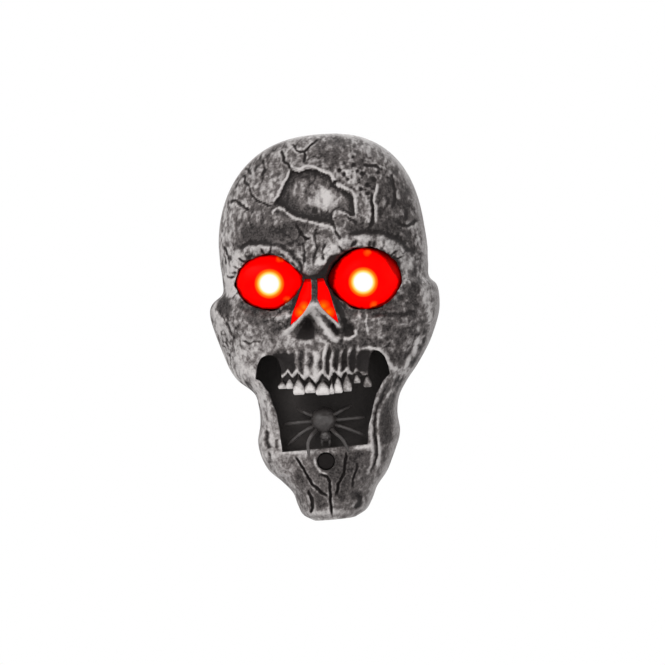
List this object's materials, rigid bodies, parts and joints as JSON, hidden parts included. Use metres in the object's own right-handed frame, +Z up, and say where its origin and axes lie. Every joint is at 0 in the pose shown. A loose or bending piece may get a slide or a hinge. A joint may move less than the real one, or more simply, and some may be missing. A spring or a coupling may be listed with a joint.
{
  "type": "halloween skull decoration",
  "caption": "Wall-hung battery-powered skull mask with lit red eyes and nose slits, open toothed mouth and a spider push button, closed by a screwed back cover with battery door.",
  "frame": {"origin": "on the flat back face, which lies on the wall, below the battery door", "axes": "+Z up the face, -Y out of the wall toward the viewer, +X to the viewer's right"},
  "size_m": [0.1017, 0.0498, 0.1704],
  "materials": {
    "bone_plastic": "dark plastic dry-brushed with grey",
    "black_plastic": "fine grained black",
    "red_lens": "translucent red, lit from behind",
    "lamp_red": "clear red",
    "smoked_window": "smoked, smooth",
    "steel": "plated",
    "board_green": "solder resist",
    "cell_sleeve": "plain printed sleeve",
    "red_vinyl": "satin",
    "black_vinyl": "satin",
    "speaker_paper": "black paper"
  },
  "bodies": {
    "housing": {"front_shell": "bone_plastic", "back_cover": "black_plastic", "cover_screw_1": "steel", "cover_screw_2": "steel", "cover_screw_3": "steel", "cover_screw_4": "steel", "cover_screw_5": "steel", "battery_cell_1": "cell_sleeve", "battery_cell_2": "cell_sleeve", "battery_cell_3": "cell_sleeve", "contact_top_left": "steel", "contact_top_bridge": "steel", "contact_bottom_bridge": "steel", "contact_bottom_right": "steel", "main_board": "board_green", "board_screw_1": "steel", "board_screw_2": "steel", "press_switch": "black_plastic", "sound_chip": "black_plastic", "capacitor": "black_vinyl", "light_sensor": "smoked_window", "sensor_window": "smoked_window", "mouth_tray": "black_plastic", "tray_screw_1": "steel", "tray_screw_2": "steel", "button_spring": "steel", "eye_lens_left": "red_lens", "lamp_cup_left": "black_plastic", "lamp_left": "lamp_red", "eye_lens_right": "red_lens", "lamp_cup_right": "black_plastic", "lamp_right": "lamp_red", "nose_lens": "red_lens", "speaker_frame": "steel", "speaker_cone": "speaker_paper", "power_switch_body": "steel", "battery_lead_red": "red_vinyl", "battery_lead_black": "black_vinyl", "switch_lead": "red_vinyl", "speaker_lead": "black_vinyl", "eye_lead_left": "red_vinyl", "eye_lead_right": "red_vinyl"},
    "spider_button": {"spider": "black_plastic", "button_plunger": "black_plastic", "retaining_clip": "steel"},
    "power_slider": {"power_switch_slider": "black_plastic"},
    "battery_hatch": {"battery_door": "black_plastic", "battery_door_screw": "steel"}
  },
  "joints": [
    {"name": "spider_press", "type": "slide", "parent": "housing", "child": "spider_button", "axis": [0, 1, 0], "range_m": [0, 0.002], "stiffness_N_per_m": 400, "springref_m": -0.002, "deforming": ["button_spring"]},
    {"name": "power_slide", "type": "slide", "parent": "housing", "child": "power_slider", "axis": [1, 0, 0], "range_m": [0, 0.0024]},
    {"name": "battery_door_lift", "type": "hinge", "parent": "housing", "child": "battery_hatch", "pos_m": [0, 0, 0.0088], "axis": [-1, 0, 0], "range_deg": [0, 75]}
  ]
}
